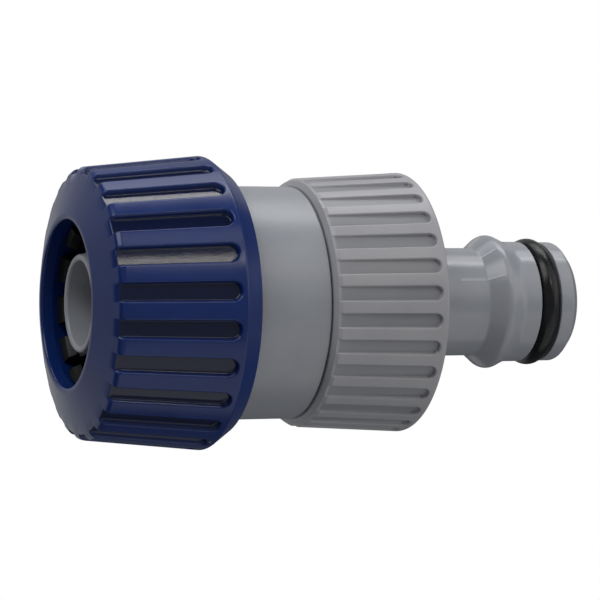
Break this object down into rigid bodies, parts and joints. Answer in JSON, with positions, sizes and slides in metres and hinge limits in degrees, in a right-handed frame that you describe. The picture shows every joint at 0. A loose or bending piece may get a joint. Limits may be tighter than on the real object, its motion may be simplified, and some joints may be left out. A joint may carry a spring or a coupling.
{
  "type": "garden hose quick connector",
  "caption": "Hose-end quick connector: ribbed clamping nut over a barbed tail, ribbed flow-regulating collar and a click spigot with an O-ring.",
  "frame": {"origin": "centre of the hose nut's mouth, on the flat ring that the connector stands on", "axes": "+Z along the axis, from the hose end to the click spigot; +X and +Y are free, the valve's first cam lug lies on +X"},
  "size_m": [0.0376, 0.0376, 0.0687],
  "materials": {
    "nut": "fine satin",
    "grey_body": "satin",
    "collar": "matt",
    "clamp": "matt",
    "seal": "smooth rubber",
    "inner_white": "satin"
  },
  "bodies": {
    "body": {"valve_body": "grey_body", "valve_plug": "inner_white", "plug_o_ring": "seal"},
    "collet": {"clamp_collet": "clamp"},
    "nut": {"hose_nut": "nut"},
    "spigot": {"spigot": "grey_body", "spigot_o_ring": "seal", "piston_o_ring": "seal", "collar_clip": "inner_white"},
    "collar": {"regulating_collar": "collar"}
  },
  "joints": [
    {"name": "nut_travel", "type": "slide", "parent": "body", "child": "collet", "axis": [0, 0, 1], "range_m": [-0.006, 0]},
    {"name": "nut_turn", "type": "hinge", "parent": "collet", "child": "nut", "pos_m": [0, 0, 0.01], "axis": [0, 0, 1], "range_deg": [-720, 0]},
    {"name": "spigot_lift", "type": "slide", "parent": "body", "child": "spigot", "axis": [0, 0, 1], "range_m": [0, 0.003]},
    {"name": "collar_turn", "type": "hinge", "parent": "spigot", "child": "collar", "pos_m": [0, 0, 0.038], "axis": [0, 0, 1], "range_deg": [0, 90]}
  ],
  "couplings": [
    {"joint": "nut_travel", "follows": "nut_turn", "m_per_rad": 0.00047746},
    {"joint": "spigot_lift", "follows": "collar_turn", "m_per_rad": 0.0019099}
  ]
}
